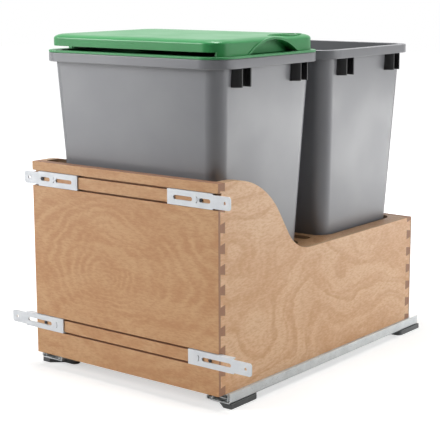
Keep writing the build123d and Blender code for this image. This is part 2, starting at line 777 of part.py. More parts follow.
# ---------------------------------------------------------------- assembly
def build():
    os.makedirs("parts", exist_ok=True)

    right = right_side_panel()
    left = mirrored(right)
    front = front_panel([left, right])
    save("back_panel", back_panel([left, right]))
    screws = [slide_screw(y) for y in slide_screw_places()]
    for cutter in kerfs() + screws:
        right -= cutter
    left = mirrored(right)
    stop_screws = [bracket_screw(side, tip, z, at) for _, side, tip, z, _, _, at in bracket_list()]
    for screw in stop_screws:
        front -= screw
        right -= screw
        left -= screw
    save("front_panel", front)
    save("right_side", right)
    save("left_side", left)
    save("bottom_panel", bottom_blank())
    save("deck_panel", deck_panel())
    save("slide_screws", screws + [mirrored(s) for s in screws])

    save("front_bin", trash_bin(front_bin_y))
    save("rear_bin", trash_bin(rear_bin_y))
    save("front_bin_clips", bin_clips(front_bin_y))
    save("rear_bin_clips", bin_clips(rear_bin_y))
    save("lid_ring", lid_ring())
    save("lid", lid())
    save("lid_hinge_pins", hinge_pins())

    for name, side, tip, z, slots, arc_at, _ in bracket_list():
        save(name, bracket(side, tip, z, slots, arc_at))
    save("bracket_screws", stop_screws)

    lower_z = plate_top + roller_space / 2
    upper_z = web_top + roller_space / 2
    foot = front_foot()
    rivets = [rivet(x, y) for x, y in rivet_places()]
    for side, place in (("right", lambda s: s), ("left", mirrored)):
        save(f"{side}_cabinet_member", place(cabinet_member()))
        save(f"{side}_intermediate_member", place(intermediate_member()))
        save(f"{side}_drawer_member", place(drawer_member()))
        save(f"{side}_lower_cage", place(roller_cage(lower_z)))
        save(f"{side}_upper_cage", place(roller_cage(upper_z)))
        save(f"{side}_lower_rollers", [place(r) for r in cage_rollers(lower_z)])
        save(f"{side}_upper_rollers", [place(r) for r in cage_rollers(upper_z)])
        save(f"{side}_closing_bumper", place(closing_bumper()))
        save(f"{side}_front_foot", place(foot))
        save(f"{side}_rear_foot", place(turned_end(foot)))
    save("foot_rivets", rivets + [mirrored(r) for r in rivets])


build()
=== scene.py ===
import json
import math

import bmesh
import bpy
from mathutils import Matrix, Vector


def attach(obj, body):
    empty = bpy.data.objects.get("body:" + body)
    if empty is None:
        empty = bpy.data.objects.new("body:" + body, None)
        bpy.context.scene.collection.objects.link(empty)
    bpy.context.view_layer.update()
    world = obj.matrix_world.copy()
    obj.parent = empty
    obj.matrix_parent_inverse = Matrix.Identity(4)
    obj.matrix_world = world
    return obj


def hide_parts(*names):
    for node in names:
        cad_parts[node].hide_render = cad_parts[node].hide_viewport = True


# Looks of the pull-out trash cabinet. Metres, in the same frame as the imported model:
# +Z up, -Y is the way the drawer pulls out, +X to the right seen from the front.

# ---------------------------------------------------------------- sizes shared with the solids
BOX_HALF = 0.1825             # outer face of a side panel
BOX_FRONT = -0.2862           # front face of the front panel
BOX_BACK = 0.2472
DECK_TOP = 0.2005
FRONT_BIN_Y = -0.1434
REAR_BIN_Y = 0.1247
PLY = 0.015 / 11              # eleven plies in a 15 mm board
WALL_BOW = 0.17               # outward bow of a bin's walls, per metre

LID_LOW = 0.4971
LID_TOP = 0.5214
LID_HALF_X = 0.1669
LID_HALF_Y = 0.122
LID_CORNER = 0.030
LID_WALL = 0.0025
HINGE_X = -0.1709
HINGE_Z = 0.5011
HINGE_OFFSET = 0.048          # each hinge's middle from the lid's middle
KNUCKLE_HALF = 0.011
KNUCKLE_RADIUS = 0.0036
KNUCKLE_BORE = 0.0015
AIR_GAP = 0.0062              # skirt stands this high over the ring, front and back
AIR_GAP_START = 0.058         # and for this length round the corners on the hinge side
GRIP_MIDDLE = FRONT_BIN_Y + 0.0075
GRIP_HALF = 0.06025
GRIP_CROWN = LID_TOP - 0.0048
GRIP_DEPTH = 0.016
GRIP_LIP = 0.003
GRIP_LIP_STAND = 0.0012
SCOOP_HALF_LENGTH = 0.036     # finger recess in the lid's top
SCOOP_HALF_WIDTH = 0.013
SCOOP_DEPTH = 0.0045
SCOOP_X = 0.1469
SCOOP_Y = FRONT_BIN_Y + 0.062

# ---------------------------------------------------------------- softer turns of the lid
EDGE_ROLL_IN = 0.014          # how far the rolled edge reaches in over the top
EDGE_ROLL_DOWN = 0.0065       # and down the skirt
INNER_ROLL_IN = 0.0115
INNER_ROLL_DOWN = 0.004
LID_CROWN = 0.0008            # rise of the top towards its middle
LID_SOFTNESS = 0.0006
SCOOP_SKIN = 0.0022           # thickness left under the finger recess
SCOOP_LEAD = 0.0006           # the dish starts to close in this far under the lid's top
SCOOP_HEAD = 0.004            # its cutter stands this high over the top
CORNER_TIGHTEN = 0.55         # how fast the corners' radius shrinks towards the middle
LEAST_RADIUS = 0.0005
CORNER_STEPS = 9
SIDE_STEPS = 10
ROLL_STEPS = 12
ARCH_STEPS = 28
SCOOP_STEPS = 48
ROUND_STEPS = 32
PAST = 0.001                  # cutters run this far past the faces that they cut
WELL_CLEAR = 0.3              # and out to this where nothing is near
GRIP_PAST = 0.01
TRIM_RISE = 0.02              # the box that levels the lid's top
TRIM_HALF_Y = 0.2

# ---------------------------------------------------------------- rounding of sharp edges
SMALL_EDGE = 0.00025          # where the table of edges names no width
STOUT_EDGE = 0.0004           # brackets and feet
WELD_REACH = 0.00002
FLAT_ANGLE = 0.6              # degrees: faces that meet flatter than this become one
SHARP_ANGLE = 32              # degrees: edges sharper than this are rounded

# ---------------------------------------------------------------- the floor
FLOOR_HALF = 7.0
FLOOR_DROP = 0.0002           # keeps the feet clear of the floor's own face

# ---------------------------------------------------------------- the photograph's view
VIEW_TURN = 38.21             # degrees from straight ahead, towards the right side
VIEW_RISE = 11.04             # degrees above level
VIEW_ROLL = -0.19
VIEW_PLACE = (1.2371, -1.6221, 0.6092)
VIEW_LENS = 103.29            # millimetres
VIEW_SENSOR = 36.0


# ---------------------------------------------------------------- node helpers
class Wiring:
    """Adds nodes to one tree and joins them up."""

    def __init__(self, tree):
        self.tree = tree

    def feed(self, socket, value):
        """Join a socket to another node's output, or set its number or colour."""
        if isinstance(value, bpy.types.NodeSocket):
            self.tree.links.new(value, socket)
        else:
            socket.default_value = value

    def add(self, kind, feeds=None, **settings):
        node = self.tree.nodes.new(kind)
        for name, value in settings.items():
            setattr(node, name, value)
        for name, value in (feeds or {}).items():
            self.feed(node.inputs[name], value)
        return node

    def math(self, operation, a, b=0.0, clamp=False):
        node = self.add("ShaderNodeMath", {0: a, 1: b}, operation=operation, use_clamp=clamp)
        return node.outputs[0]

    def plus(self, a, b):
        return self.math("ADD", a, b)

    def minus(self, a, b):
        return self.math("SUBTRACT", a, b)

    def times(self, a, b):
        return self.math("MULTIPLY", a, b)

    def over(self, a, b):
        return self.math("DIVIDE", a, b)

    def fit(self, value, low, high, to_low=0.0, to_high=1.0):
        """Carry a value smoothly from one range to another."""
        feeds = {"Value": value, "From Min": low, "From Max": high, "To Min": to_low, "To Max": to_high}
        return self.add("ShaderNodeMapRange", feeds, interpolation_type="SMOOTHSTEP").outputs["Result"]

    def point(self, x=0.0, y=0.0, z=0.0):
        return self.add("ShaderNodeCombineXYZ", {"X": x, "Y": y, "Z": z}).outputs["Vector"]

    def stretched(self, parts, scales):
        """A vector of three coordinates, each with a scale of its own."""
        return self.point(*(self.times(part, scale) for part, scale in zip(parts, scales)))

    def split(self, vector):
        """The X, Y and Z of a vector."""
        return self.add("ShaderNodeSeparateXYZ", {"Vector": vector}).outputs

    def noise(self, vector, scale, detail=2.0, roughness=0.5):
        feeds = {"Vector": vector, "Scale": scale, "Detail": detail, "Roughness": roughness}
        return self.add("ShaderNodeTexNoise", feeds).outputs["Fac"]

    def blend(self, factor, first, second):
        """Mix two colours by a mask."""
        node = self.add("ShaderNodeMix", {"Factor": factor}, data_type="RGBA")
        self.feed(node.inputs[6], first)
        self.feed(node.inputs[7], second)
        return node.outputs[2]

    def bump(self, height, strength, distance, normal=None):
        feeds = {"Height": height, "Strength": strength, "Distance": distance}
        if normal is not None:
            feeds["Normal"] = normal
        return self.add("ShaderNodeBump", feeds).outputs["Normal"]


def new_group(name, inputs, outputs):
    """Shader group with named sockets; hands back its wiring and its two ends."""
    group = bpy.data.node_groups.new(name, "ShaderNodeTree")
    kinds = {"number": "NodeSocketFloat", "vector": "NodeSocketVector"}
    for label, kind, default in inputs:
        socket = group.interface.new_socket(label, in_out="INPUT", socket_type=kinds[kind])
        if default is not None:
            socket.default_value = default
    for label, kind in outputs:
        group.interface.new_socket(label, in_out="OUTPUT", socket_type=kinds[kind])
    wiring = Wiring(group)
    return group, wiring, wiring.add("NodeGroupInput").outputs, wiring.add("NodeGroupOutput").inputs


# ---------------------------------------------------------------- shared effects
def veneer_figure_group():
    """Figure of rotary-cut veneer: fine rings that widen round a heart, wandering bands, fibres."""
    inputs = [("Along", "number", 0.0), ("Across", "number", 0.0),
              ("Heart Along", "number", 0.0), ("Heart Across", "number", 0.0),
              ("Ring Pitch", "number", 0.007), ("Widening", "number", 0.1), ("Warp", "number", 0.04),
              ("Band Pitch", "number", 0.05), ("Swirl", "number", 5.0)]
    outputs = [("Rings", "number"), ("Bands", "number"), ("Fibre", "number")]
    group, w, come, go = new_group("veneer_figure", inputs, outputs)
    sheet = w.point(come["Along"], w.times(come["Across"], 1.35), 0.0)
    # rings: how many turns of the log lie between a point and the heart
    slow = w.add("ShaderNodeTexNoise", {"Vector": sheet, "Scale": 7.0, "Detail": 2.0}).outputs["Color"]
    bend = w.split(slow)
    ways = []
    for way, axis, stretch in (("Along", "X", 1.5), ("Across", "Y", 1.0)):
        shift = w.times(w.minus(bend[axis], 0.5), come["Warp"])
        here = w.plus(w.minus(come[way], come["Heart " + way]), shift)
        here = w.over(here, stretch)
        ways.append(w.times(here, here))
    far = w.over(w.math("SQRT", w.plus(ways[0], ways[1])), come["Ring Pitch"])
    turns = w.math("LOGARITHM", w.plus(w.times(far, come["Widening"]), 1.0), math.e)
    turns = w.over(turns, come["Widening"])
    turns = w.plus(turns, w.times(w.noise(sheet, 24.0, 2.0), 1.6))
    wave = w.times(w.plus(w.math("SINE", w.times(turns, 2 * math.pi)), 1.0), 0.5)
    shown = w.fit(w.noise(sheet, 11.0, 2.0), 0.35, 0.62, 0.2, 1.0)
    w.feed(go["Rings"], w.times(w.math("POWER", wave, 1.7), shown))
    # bands: broad waves across the sheet with thinner ones between them
    level = w.plus(w.over(come["Across"], come["Band Pitch"]),
                   w.times(w.noise(sheet, 4.5, 1.5, 0.4), come["Swirl"]))
    level = w.plus(level, w.times(w.noise(sheet, 30.0, 2.0), 0.5))
    part = w.math("FRACT", level)
    band = w.times(w.fit(part, 0.0, 0.72), w.fit(part, 1.0, 0.78))
    part = w.math("FRACT", w.times(level, 2.7))
    thin = w.times(w.fit(part, 0.0, 0.7), w.fit(part, 1.0, 0.75))
    band = w.plus(w.times(band, 0.65), w.times(thin, 0.35))
    broad = w.fit(w.noise(sheet, 6.0, 2.0), 0.35, 0.65, 0.3, 1.0)
    w.feed(go["Bands"], w.times(band, broad))
    streak = w.point(w.times(come["Along"], 130.0), w.times(come["Across"], 420.0), 0.3)
    w.feed(go["Fibre"], w.noise(streak, 1.0, 3.0, 0.65))
    return group


def ply_edge_group():
    """Layers of a plywood edge by depth from one face: crossed plies and thin glue lines."""
    inputs = [("Depth", "number", 0.0), ("Ply", "number", PLY), ("Run", "vector", None)]
    outputs = [("Crossed", "number"), ("Glue", "number"), ("Pores", "number")]
    group, w, come, go = new_group("ply_edge", inputs, outputs)
    wander = w.times(w.minus(w.noise(come["Run"], 30.0, 1.0), 0.5), 0.35)
    turns = w.plus(w.over(come["Depth"], come["Ply"]), wander)
    inside = w.math("FRACT", turns)
    nearest = w.math("MINIMUM", inside, w.minus(1.0, inside))
    w.feed(go["Glue"], w.fit(nearest, 0.02, 0.12, 1.0, 0.0))
    wave = w.math("SINE", w.times(turns, math.pi))
    w.feed(go["Crossed"], w.fit(wave, -0.15, 0.15))
    w.feed(go["Pores"], w.noise(come["Run"], 900.0, 2.0, 0.7))
    return group


def edge_wear_group():
    """Mask that is 1 along corners and edges, broken up where hands miss them."""
    inputs = [("Radius", "number", 0.0008), ("Run", "vector", None), ("Break Up", "number", 60.0)]
    group, w, come, go = new_group("edge_wear", inputs, [("Mask", "number")])
    soft = w.add("ShaderNodeBevel", {"Radius": come["Radius"]}, samples=4).outputs["Normal"]
    flat = w.add("ShaderNodeNewGeometry").outputs["Normal"]
    same = w.add("ShaderNodeVectorMath", {0: soft, 1: flat}, operation="DOT_PRODUCT").outputs["Value"]
    edge = w.fit(same, 0.995, 0.9)
    patches = w.fit(w.noise(come["Run"], come["Break Up"], 3.0, 0.6), 0.3, 0.7, 0.35, 1.0)
    w.feed(go["Mask"], w.math("MULTIPLY", edge, patches, clamp=True))
    return group


def moulded_skin_group():
    """Fine spark texture and slow cloudiness of a moulded plastic skin."""
    inputs = [("Run", "vector", None), ("Grain Scale", "number", 1600.0)]
    outputs = [("Height", "number"), ("Cloud", "number"), ("Flow", "number")]
    group, w, come, go = new_group("moulded_skin", inputs, outputs)
    w.feed(go["Height"], w.noise(come["Run"], come["Grain Scale"], 2.0, 0.55))
    w.feed(go["Cloud"], w.noise(come["Run"], 14.0, 3.0, 0.5))
    place = w.split(come["Run"])
    streak = w.stretched((place["X"], place["Y"], place["Z"]), (95.0, 95.0, 1.2))
    w.feed(go["Flow"], w.noise(streak, 1.0, 2.0, 0.5))
    return group


def rolled_metal_group():
    """Rolling lines along one way, hair scratches and the bloom of zinc plating."""
    inputs = [("Along", "number", 0.0), ("Across", "number", 0.0), ("Rise", "number", 0.0)]
    outputs = [("Lines", "number"), ("Scratch", "number"), ("Bloom", "number")]
    group, w, come, go = new_group("rolled_metal", inputs, outputs)
    ways = (come["Along"], come["Across"], come["Rise"])
    w.feed(go["Lines"], w.noise(w.stretched(ways, (9.0, 900.0, 900.0)), 1.0, 3.0, 0.6))
    w.feed(go["Bloom"], w.noise(w.point(*ways), 55.0, 4.0, 0.6))
    long_cells = {"Vector": w.stretched(ways, (45.0, 380.0, 380.0)), "Scale": 1.0}
    cells = w.add("ShaderNodeTexVoronoi", long_cells, feature="DISTANCE_TO_EDGE")
    w.feed(go["Scratch"], w.fit(cells.outputs["Distance"], 0.0, 0.025, 1.0, 0.0))
    return group


def settled_dust_group():
    """Thin dust on faces that look up, more where the air is still."""
    inputs = [("Run", "vector", None), ("Amount", "number", 0.2)]
    group, w, come, go = new_group("settled_dust", inputs, [("Mask", "number")])
    up = w.split(w.add("ShaderNodeNewGeometry").outputs["Normal"])["Z"]
    patches = w.fit(w.noise(come["Run"], 38.0, 5.0, 0.65), 0.35, 0.75)
    w.feed(go["Mask"], w.times(w.times(w.fit(up, 0.4, 1.0), patches), come["Amount"]))
    return group


VENEER = veneer_figure_group()
PLY_EDGE = ply_edge_group()
WEAR = edge_wear_group()
SKIN = moulded_skin_group()
ROLLED = rolled_metal_group()
DUST = settled_dust_group()


# ---------------------------------------------------------------- materials
class Finish(Wiring):
    """A material with its Principled shader and the object's own coordinates to hand."""

    def __init__(self, name, **constants):
        self.material = bpy.data.materials.new(name)
        self.material.use_nodes = True
        super().__init__(self.material.node_tree)
        self.shader = self.tree.nodes["Principled BSDF"]
        for label, value in constants.items():
            self.shader.inputs[label.replace("_", " ")].default_value = value
        coordinates = self.add("ShaderNodeTexCoord").outputs
        self.run = coordinates["Object"]
        self.facing = self.split(coordinates["Normal"])
        self.place = self.split(self.run)

    def effect(self, group, feeds):
        """One of the shared effects, fed and ready to use."""
        return self.add("ShaderNodeGroup", feeds, node_tree=group).outputs

    def flows(self, **feeds):
        """Feed the shader's colour, roughness, metallic or normal."""
        for label, value in feeds.items():
            self.feed(self.shader.inputs[label.replace("_", " ")], value)
        return self.material


DUST_COLOUR = (0.62, 0.6, 0.56, 1.0)
BARE_STEEL = (0.93, 0.94, 0.95, 1.0)
SAWN_ROUGH = 0.62             # roughness of plywood edges
INSIDE_ROUGH = 0.8            # least roughness of a bin's inner walls
GRAIN_RELIEF = 0.00025        # height of the wood's fibre
SKIN_RELIEF = 0.0001
ROLLED_RELIEF = 0.0001
BIN_SPLIT = 0.001             # half the strip between the bins where one axis gives way


def plywood(name, face, depth, run, heart, tones, edge_tones, pitch=0.007, widening=0.1,
            warp=0.04, band=0.05, swirl=5.0, rings=0.6, bands=0.6):
    """Varnished plywood: figured veneer on the two faces, layers on every edge.

    face is the axis across the board, depth its outer face on that axis, run the axes
    along and across the veneer, heart the middle of the figure on those axes.
    """
    f = Finish(name, Coat_Weight=0.1, Coat_Roughness=0.32, Specular_IOR_Level=0.4)
    on_face = f.fit(f.math("ABSOLUTE", f.facing[face]), 0.6, 0.8)
    along, across = (f.place[axis] for axis in run)
    board = f.effect(VENEER, {
        "Along": along, "Across": across, "Heart Along": heart[0], "Heart Across": heart[1],
        "Ring Pitch": pitch, "Widening": widening, "Warp": warp,
        "Band Pitch": band, "Swirl": swirl})
    light, middle, dark = tones
    veneer = f.blend(f.fit(board["Bands"], 0.1, 0.7, 0.0, bands), middle, light)
    veneer = f.blend(f.fit(board["Bands"], 0.4, 0.0, 0.0, 0.6 * bands), veneer, dark)
    veneer = f.blend(f.times(board["Rings"], rings), veneer, light)
    veneer = f.blend(f.fit(board["Fibre"], 0.42, 0.7, 0.0, 0.5), veneer, dark)
    veneer = f.blend(f.fit(board["Fibre"], 0.5, 0.3, 0.0, 0.35), veneer, light)
    sunk = f.minus(f.math("ABSOLUTE", f.place[face]), abs(depth))
    layers = f.effect(PLY_EDGE, {"Depth": f.math("ABSOLUTE", sunk), "Run": f.run})
    edge = f.blend(layers["Crossed"], edge_tones[0], edge_tones[1])
    edge = f.blend(f.fit(layers["Pores"], 0.5, 0.75, 0.0, 0.4), edge, edge_tones[2])
    edge = f.blend(f.times(layers["Glue"], 0.5), edge, edge_tones[2])
    worn = f.effect(WEAR, {"Radius": 0.0012, "Run": f.run})["Mask"]
    colour = f.blend(on_face, edge, veneer)
    colour = f.blend(f.times(worn, 0.25), colour, light)
    rough_face = f.times(on_face, f.fit(board["Fibre"], 0.2, 0.8, 0.36, 0.5))
    rough_edge = f.times(f.minus(1.0, on_face), SAWN_ROUGH)
    height = f.plus(f.times(board["Fibre"], 0.7), f.times(layers["Pores"], 0.3))
    return f.flows(Base_Color=colour, Roughness=f.plus(rough_face, rough_edge),
                   Normal=f.bump(height, 0.22, GRAIN_RELIEF))


def from_bin_axis(f):
    """How far a point lies behind the upright axis of its own bin."""
    between = (FRONT_BIN_Y + REAR_BIN_Y) / 2
    middle = f.fit(f.place["Y"], between - BIN_SPLIT, between + BIN_SPLIT, FRONT_BIN_Y, REAR_BIN_Y)
    return f.minus(f.place["Y"], middle)


def inner_walls(f, back):
    """Mask that is 1 on a bin's inner walls: they look towards the bin's own upright axis."""
    out_x = f.times(f.facing["X"], f.place["X"])
    out_y = f.times(f.facing["Y"], back)
    return f.fit(f.plus(out_x, out_y), -0.01, -0.05)


def bowed_wall(f, back, normal):
    """Bend the light over a bin's walls as their slight outward bow does."""
    square = f.plus(f.times(f.place["X"], f.place["X"]), f.times(back, back))
    return f.bump(f.times(square, -WALL_BOW), 1.0, 1.0, normal)


def plastic(name, colour, shade, rough, dust=0.1, grain=1600.0, wear=0.4, flow=0.0,
            specular=0.5, inside=None):
    """Satin moulded plastic with a fine skin, slow cloudiness and lighter rubbed edges; on the black clips
    the lighter edges are partly a painted highlight.
    """
    f = Finish(name, Specular_IOR_Level=specular)
    skin = f.effect(SKIN, {"Run": f.run, "Grain Scale": grain})
    tint = f.blend(f.fit(skin["Cloud"], 0.3, 0.7), colour, shade)
    if flow:
        tint = f.blend(f.fit(skin["Flow"], 0.35, 0.7, 0.0, flow), tint, shade)
    worn = f.effect(WEAR, {"Radius": 0.0009, "Run": f.run})["Mask"]
    # lighter edges: real rubbing, and on the black clips also a painted highlight of their lit outer edges
    rubbed_and_lit_edge_tint = tuple(min(1.0, 0.75 * c + 0.2) for c in colour[:3]) + (1.0,)
    tint = f.blend(f.times(worn, wear), tint, rubbed_and_lit_edge_tint)
    film = f.effect(DUST, {"Run": f.run, "Amount": dust})["Mask"]
    tint = f.blend(film, tint, DUST_COLOUR)
    clean = f.fit(skin["Cloud"], 0.25, 0.75, rough - 0.03, rough + 0.05)
    roughness = f.plus(clean, f.times(film, 0.4))
    normal = f.bump(skin["Height"], 0.12, SKIN_RELIEF)
    if inside:
        back = from_bin_axis(f)
        walls = inner_walls(f, back)
        normal = bowed_wall(f, back, normal)
        # painted shade: the inner walls are darkened towards the inside colour, standing in for the shadow
        # inside the bin
        tint = f.blend(walls, tint, inside)
        roughness = f.math("MAXIMUM", roughness, f.times(walls, INSIDE_ROUGH))
    return f.flows(Base_Color=tint, Roughness=roughness, Normal=normal)


def plated_steel(name, run, colour, shade, rough, metal, scratch=0.35):
    """Zinc-plated sheet or rail: rolling lines along the run, hair scratches, bright edges."""
    f = Finish(name)
    axes = [f.place[axis] for axis in run]
    sheet = f.effect(ROLLED, {"Along": axes[0], "Across": axes[1], "Rise": axes[2]})
    tint = f.blend(f.fit(sheet["Bloom"], 0.3, 0.7), colour, shade)
    tint = f.blend(f.fit(sheet["Lines"], 0.45, 0.75, 0.0, 0.3), tint, shade)
    worn = f.effect(WEAR, {"Radius": 0.0005, "Run": f.run, "Break Up": 140.0})["Mask"]
    tint = f.blend(f.times(worn, 0.5), tint, BARE_STEEL)
    rolled = f.fit(sheet["Lines"], 0.3, 0.7, rough - 0.05, rough + 0.07)
    roughness = f.plus(rolled, f.times(sheet["Scratch"], -0.08))
    metallic = f.fit(sheet["Bloom"], 0.2, 0.8, metal, metal - 0.12)
    height = f.minus(sheet["Lines"], f.times(sheet["Scratch"], scratch))
    return f.flows(Base_Color=tint, Roughness=roughness, Metallic=metallic,
                   Normal=f.bump(height, 0.1, ROLLED_RELIEF))


def rgb(red, green, blue):
    """A colour written as it is seen, 0 to 255, turned into the shader's light values."""
    def light(value):
        value /= 255.0
        return value / 12.92 if value <= 0.04045 else ((value + 0.055) / 1.055) ** 2.4
    return (light(red), light(green), light(blue), 1.0)


# Same veneer on the front and the sides: the front's tones hold painted shade and the sides' tones painted
# light, as the light falls from the right.
SHADED_FRONT_TONES = (rgb(214, 171, 127), rgb(200, 151, 107), rgb(186, 131, 86))
LIT_SIDE_TONES = (rgb(242, 204, 165), rgb(228, 181, 138), rgb(209, 154, 105))
INNER_TONES = (rgb(216, 174, 132), rgb(200, 154, 112), rgb(178, 126, 82))
LIGHT_EDGE = (rgb(220, 186, 150), rgb(196, 156, 118), rgb(150, 108, 76))
PIN_EDGE = (rgb(182, 138, 108), rgb(166, 120, 94), rgb(128, 86, 64))

FINISHES = {
    "front_ply": plywood("front_ply", "Y", BOX_FRONT, ("X", "Z"), (-0.03, 0.172), SHADED_FRONT_TONES, PIN_EDGE,
                         pitch=0.0055, widening=0.12, warp=0.09, band=0.055, swirl=3.5,
                         rings=0.7, bands=0.45),
    "side_ply": plywood("side_ply", "X", BOX_HALF, ("Y", "Z"), (0.12, -0.05), LIT_SIDE_TONES, LIGHT_EDGE,
                        pitch=0.016, widening=0.05, warp=0.12, band=0.08, swirl=9.0, rings=0.3, bands=0.62),
    "back_ply": plywood("back_ply", "Y", BOX_BACK, ("X", "Z"), (0.05, 0.24), LIT_SIDE_TONES, PIN_EDGE,
                        pitch=0.012, warp=0.06, rings=0.6, bands=0.6),
    "inner_ply": plywood("inner_ply", "Z", DECK_TOP, ("Y", "X"), (-0.3, 0.1), INNER_TONES, LIGHT_EDGE,
                         pitch=0.01, warp=0.05, rings=0.5, bands=0.6),
    # bin_grey's inside colour is painted shade on the bins' inner walls; the plastic itself is the same grey
    "bin_grey": plastic("bin_grey", rgb(136, 137, 141), rgb(132, 133, 138), 0.31, dust=0.04, grain=1300.0,
                        wear=0.25, flow=0.06, specular=0.8, inside=rgb(96, 98, 101)),
    # clip_black's lighter worn edges are partly a painted highlight of the clips' lit outer edges
    "clip_black": plastic("clip_black", rgb(46, 46, 48), rgb(38, 38, 40), 0.38, dust=0.04, wear=0.3),
    "ring_green": plastic("ring_green", rgb(80, 162, 104), rgb(72, 152, 96), 0.36, dust=0.03, wear=0.25),
    "lid_green": plastic("lid_green", rgb(62, 155, 90), rgb(57, 148, 85), 0.33, dust=0.02, wear=0.2),
    "pin_steel": plated_steel("pin_steel", "YXZ", rgb(200, 202, 204), rgb(180, 182, 185), 0.28, 0.95),
    "zinc_sheet": plated_steel("zinc_sheet", "XZY", rgb(232, 235, 239), rgb(224, 228, 233), 0.44, 0.14),
    "zinc_slide": plated_steel("zinc_slide", "YXZ", rgb(230, 235, 237), rgb(216, 221, 223), 0.34, 0.4),
    "cage_plastic": plastic("cage_plastic", rgb(226, 224, 214), rgb(216, 213, 201), 0.45, dust=0.05,
                            wear=0.1),
    "roller_steel": plated_steel("roller_steel", "XYZ", rgb(190, 191, 193), rgb(172, 173, 176), 0.22, 1.0),
    "bumper_rubber": plastic("bumper_rubber", rgb(34, 34, 34), rgb(26, 26, 26), 0.75, dust=0.2, wear=0.2,
                             grain=700.0, specular=0.3),
    "foot_grey": plastic("foot_grey", rgb(92, 94, 95), rgb(82, 84, 85), 0.42, dust=0.1, wear=0.35),
    "screw_steel": plated_steel("screw_steel", "XYZ", rgb(196, 196, 198), rgb(170, 171, 174), 0.3, 0.9),
    "stop_screw_steel": plated_steel("stop_screw_steel", "XYZ", rgb(74, 74, 78), rgb(56, 56, 60), 0.34, 0.8),
}


# ---------------------------------------------------------------- dressing the CAD nodes
EDGE_SOFTNESS = {             # rounding of each node's sharp edges
    "front_panel": 0.0004, "left_side": 0.0004, "right_side": 0.0004, "back_panel": 0.0004,
    "bottom_panel": 0.0003, "deck_panel": 0.0006,
    "front_bin": 0.0009, "rear_bin": 0.0009, "front_bin_clips": 0.0003, "rear_bin_clips": 0.0003,
    "lid_ring": 0.0008, "bracket_screws": 0.0002, "slide_screws": 0.00015, "foot_rivets": 0.00015,
    "lid_hinge_pins": 0.0002,
}


def soften(piece, width):
    """Join the mesh's split corners, drop needless edges and round the sharp ones."""
    weld = piece.modifiers.new("weld", "WELD")
    weld.merge_threshold = WELD_REACH
    flat = piece.modifiers.new("flat", "DECIMATE")
    flat.decimate_type = "DISSOLVE"
    flat.angle_limit = math.radians(FLAT_ANGLE)
    round_off = piece.modifiers.new("round", "BEVEL")
    round_off.width = width
    round_off.segments = 2
    round_off.limit_method = "ANGLE"
    round_off.angle_limit = math.radians(SHARP_ANGLE)
    even = piece.modifiers.new("even", "WEIGHTED_NORMAL")
    even.mode = "FACE_AREA_WITH_ANGLE"
    even.weight = 100
    for face in piece.data.polygons:
        face.use_smooth = True


def dress(frame):
    """Give every CAD node its finish and soft edges."""
    slots = {row["node"]: row["material_slot"] for row in frame["record"]["subparts"]}
    # two nodes whose look differs from the rest of their slot
    slots["back_panel"] = "back_ply"
    slots["bracket_screws"] = "stop_screw_steel"
    for name, piece in frame["nodes"].items():
        finish = FINISHES[slots[name]]
        piece.data.materials.clear()
        piece.data.materials.append(finish)
        width = EDGE_SOFTNESS.get(name)
        if width is None:
            width = STOUT_EDGE if "bracket" in name or "foot" in name else SMALL_EDGE
        soften(piece, width)


# ---------------------------------------------------------------- lid moulding
def rounded_ring(half_x, half_y, radius, z):
    """Points round a rounded rectangle over the front bin, the same count for every size."""
    radius = max(LEAST_RADIUS, min(radius, half_x - LEAST_RADIUS, half_y - LEAST_RADIUS))
    corners = [(1, 1), (-1, 1), (-1, -1), (1, -1)]
    points = []
    for k, (sx, sy) in enumerate(corners):
        cx, cy = sx * (half_x - radius), sy * (half_y - radius)
        for j in range(CORNER_STEPS + 1):
            a = math.radians(90 * k + 90 * j / CORNER_STEPS)
            points.append(Vector((cx + radius * math.cos(a), FRONT_BIN_Y + cy + radius * math.sin(a), z)))
        nx, ny = corners[(k + 1) % 4]
        a = math.radians(90 * (k + 1))
        start = points[-1]
        end = Vector((nx * (half_x - radius) + radius * math.cos(a),
                      FRONT_BIN_Y + ny * (half_y - radius) + radius * math.sin(a), z))
        for j in range(1, SIDE_STEPS):
            points.append(start.lerp(end, j / SIDE_STEPS))
    return points


def band(bm, low, high):
    """Quads between two closed rows of corners."""
    count = len(low)
    for k in range(count):
        bm.faces.new((low[k], low[(k + 1) % count], high[(k + 1) % count], high[k]))


def skin_rings(bm, rings):
    """Quads from ring to ring of points, with the last ring closed."""
    rows = [[bm.verts.new(p) for p in ring] for ring in rings]
    for low, high in zip(rows, rows[1:]):
        band(bm, low, high)
    bm.faces.new(rows[-1])
    return rows


def crowned_skin(inset, low, top, roll_in, roll_down, crown):
    """Rings of one skin of the lid: upright skirt, elliptic roll, gently crowned top."""
    half_x, half_y = LID_HALF_X - inset, LID_HALF_Y - inset
    radius = LID_CORNER - inset
    edge = top - crown
    rings = [rounded_ring(half_x, half_y, radius, low),
             rounded_ring(half_x, half_y, radius, (low + edge - roll_down) / 2)]
    for k in range(ROLL_STEPS + 1):
        a = math.radians(90 * k / ROLL_STEPS)
        step_in = roll_in * (1 - math.cos(a))
        z = edge - roll_down * (1 - math.sin(a))
        tighter = radius - CORNER_TIGHTEN * step_in
        rings.append(rounded_ring(half_x - step_in, half_y - step_in, tighter, z))
    reach = half_y - roll_in
    for share in (0.08, 0.2, 0.36, 0.55, 0.75, 0.93):
        step_in = roll_in + share * reach
        z = edge + crown * math.sin(share * math.pi / 2)
        tighter = radius - CORNER_TIGHTEN * step_in
        rings.append(rounded_ring(half_x - step_in, half_y - step_in, tighter, z))
    return rings


